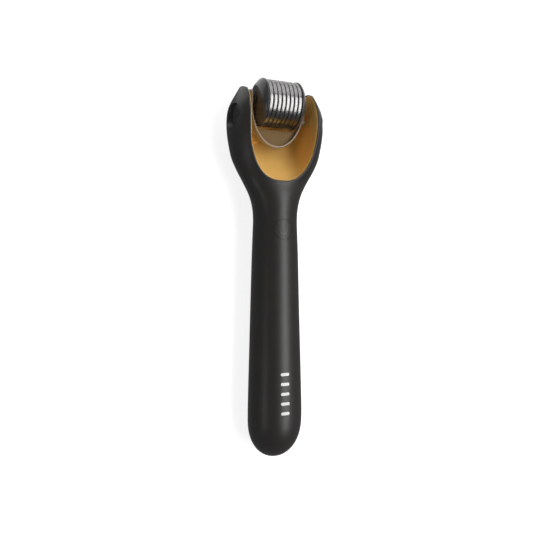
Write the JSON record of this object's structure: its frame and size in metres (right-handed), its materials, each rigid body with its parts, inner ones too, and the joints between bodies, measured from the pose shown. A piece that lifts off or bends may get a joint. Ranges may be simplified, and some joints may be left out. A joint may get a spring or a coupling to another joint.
{
  "type": "derma roller",
  "caption": "Battery-driven derma roller: slim rounded handle with a cup-shaped head, a gold cup liner and a removable needle roller in a U-shaped cradle.",
  "frame": {"origin": "under the middle of the object's box, on the surface that it lies on", "axes": "X along the roller's axle, +Y along the handle towards the head, +Z the front, which the roller faces"},
  "size_m": [0.043, 0.1606, 0.0244],
  "materials": {
    "soft_black": "soft-touch matte black",
    "button_black": "satin black",
    "gold_plating": "satin gold plating",
    "cradle_gold": "champagne, satin",
    "polished_steel": "dark polished",
    "cap_black": "gloss black",
    "white_plastic": "moulded",
    "grey_plastic": "moulded",
    "board_green": "solder mask",
    "chip_black": "moulded",
    "grey_rubber": "soft rubber",
    "battery_wrap": "shrink wrap",
    "nickel": "nickel plated"
  },
  "bodies": {
    "handle": {"outer_shell": "soft_black", "cup_liner": "gold_plating", "left_liner_screw": "polished_steel", "right_liner_screw": "polished_steel", "inner_chassis": "grey_plastic", "battery_cell": "battery_wrap", "battery_tab_negative": "nickel", "battery_tab_positive": "nickel", "circuit_board": "board_green", "front_board_screw": "polished_steel", "rear_board_screw": "polished_steel", "controller_chip": "chip_black", "charger_chip": "chip_black", "tact_switch_base": "polished_steel", "motor_can": "polished_steel", "motor_sleeve": "grey_rubber", "charge_contact_positive": "gold_plating", "charge_contact_negative": "gold_plating", "left_button_spring": "polished_steel", "right_button_spring": "polished_steel", "roller_cradle": "cradle_gold", "axle_pin": "polished_steel", "left_thrust_washer": "cap_black", "right_thrust_washer": "cap_black"},
    "roller": {"drum_core": "cap_black", "needle_disc_1": "polished_steel", "needle_disc_2": "polished_steel", "needle_disc_3": "polished_steel", "needle_disc_4": "polished_steel", "needle_disc_5": "polished_steel", "needle_disc_6": "polished_steel", "needle_disc_7": "polished_steel", "needle_disc_8": "polished_steel", "left_end_cap": "cap_black", "right_end_cap": "cap_black"},
    "motor_rotor": {"motor_shaft": "polished_steel", "eccentric_weight": "nickel"},
    "left_release": {"left_release_button": "button_black"},
    "right_release": {"right_release_button": "button_black"},
    "power_press": {"power_button": "soft_black", "tact_switch_plunger": "white_plastic"}
  },
  "joints": [
    {"name": "drum_spin", "type": "hinge", "parent": "handle", "child": "roller", "pos_m": [0, 0.0701, 0.0142], "axis": [1, 0, 0], "continuous": true},
    {"name": "motor_spin", "type": "hinge", "parent": "handle", "child": "motor_rotor", "pos_m": [0, 0.0269, 0.0116], "axis": [0, 1, 0], "continuous": true},
    {"name": "left_release_press", "type": "slide", "parent": "handle", "child": "left_release", "axis": [1, 0, 0], "range_m": [0, 0.0012], "stiffness_N_per_m": 700, "springref_m": -0.0008, "deforming": ["left_button_spring"]},
    {"name": "right_release_press", "type": "slide", "parent": "handle", "child": "right_release", "axis": [-1, 0, 0], "range_m": [0, 0.0012], "stiffness_N_per_m": 700, "springref_m": -0.0008, "deforming": ["right_button_spring"]},
    {"name": "power_button_press", "type": "slide", "parent": "handle", "child": "power_press", "axis": [0, 0, -1], "range_m": [0, 0.00025], "stiffness_N_per_m": 2500, "springref_m": -0.0003}
  ]
}
